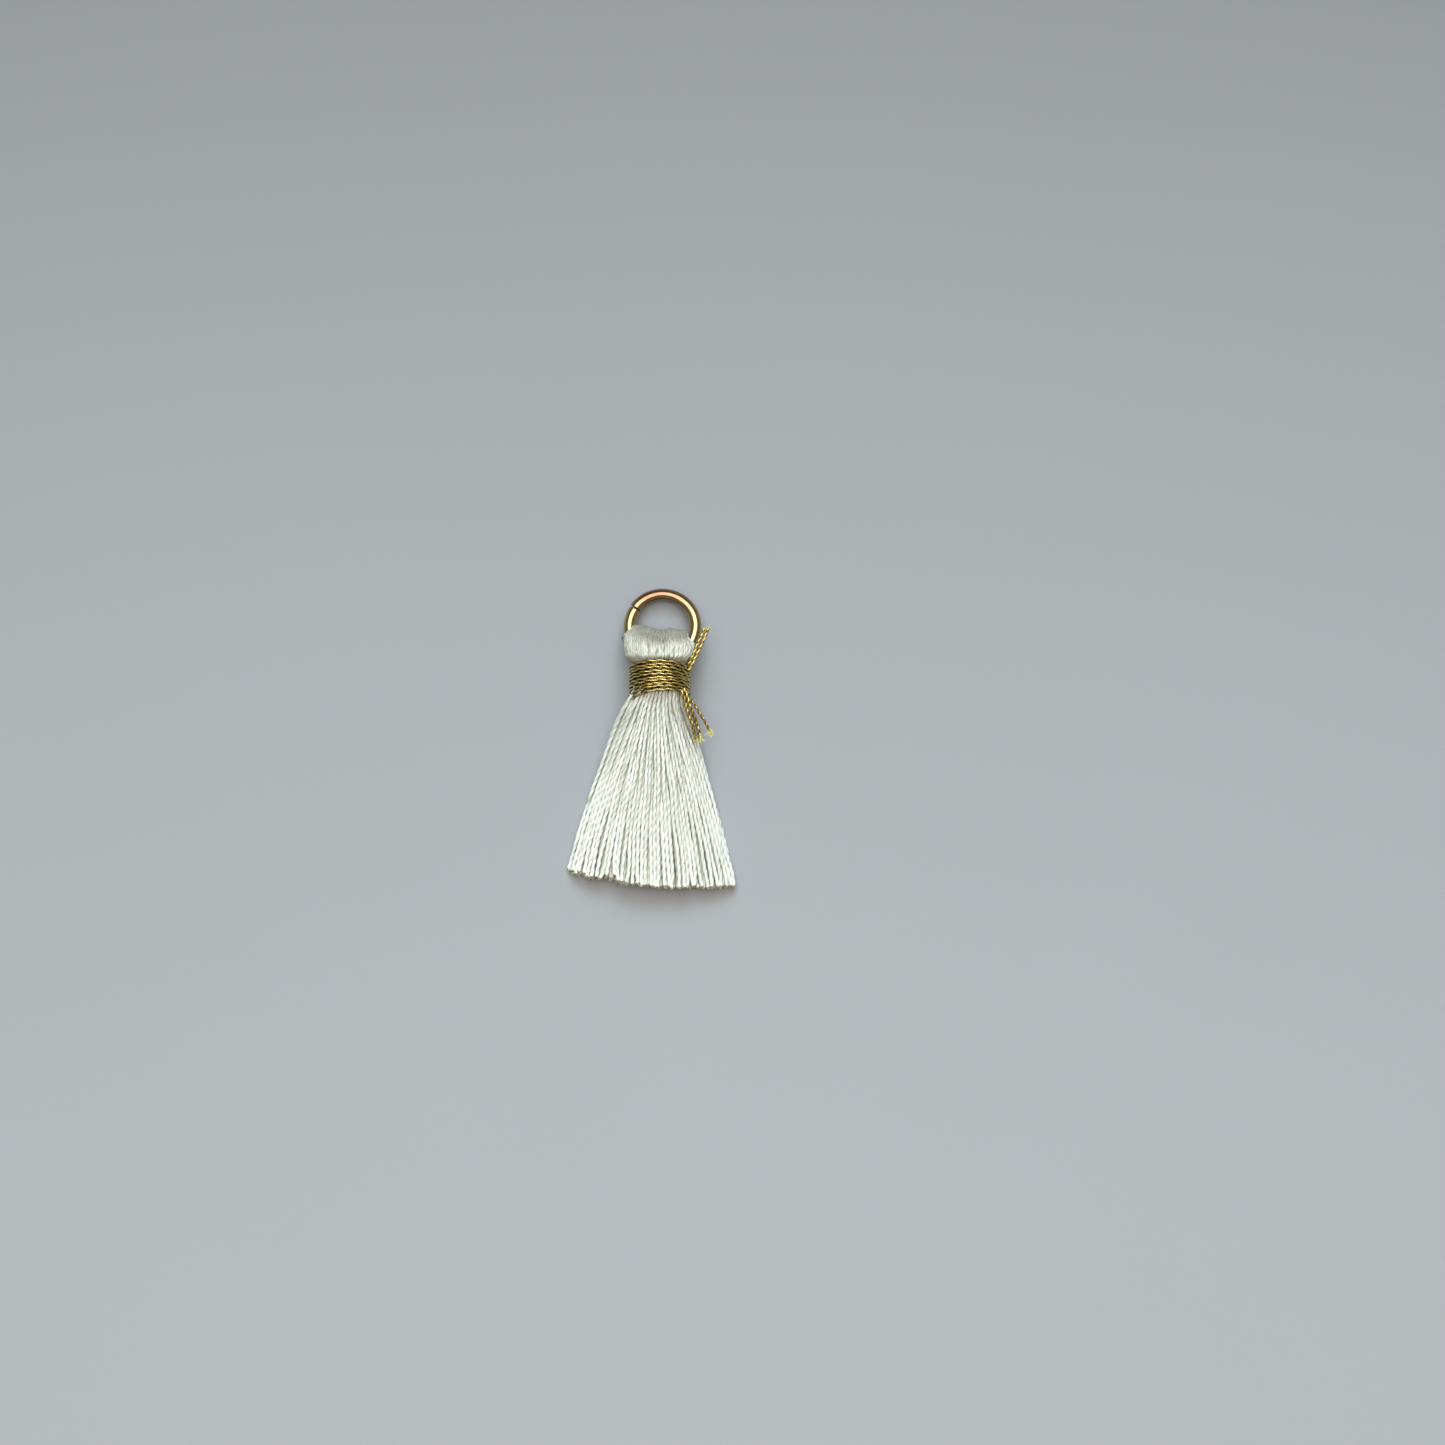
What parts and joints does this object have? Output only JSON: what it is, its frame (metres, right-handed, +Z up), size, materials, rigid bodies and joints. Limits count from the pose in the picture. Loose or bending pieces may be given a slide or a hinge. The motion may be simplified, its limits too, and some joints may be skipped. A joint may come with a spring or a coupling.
{
  "type": "tassel with a jump ring",
  "caption": "Small satin thread tassel with a bound neck and a jump ring to hang it by.",
  "frame": {"origin": "on the surface, under the middle of the whole tassel as it lies", "axes": "+Y from the cut ends to the ring, +X to the right as seen from above, +Z up"},
  "size_m": [0.0174, 0.0308, 0.005],
  "materials": {
    "satin_thread": "glossy twisted ivory thread",
    "gold_wire": "polished gold plate over brass wire",
    "metallic_thread": "twisted thread wrapped in gold foil"
  },
  "bodies": {
    "root": {"thread_bundle": "satin_thread", "jump_ring": "gold_wire", "neck_binding": "metallic_thread", "tie_end_upper": "metallic_thread", "tie_end_lower_pair": "metallic_thread", "tie_end_lower_single": "metallic_thread"}
  },
  "joints": []
}
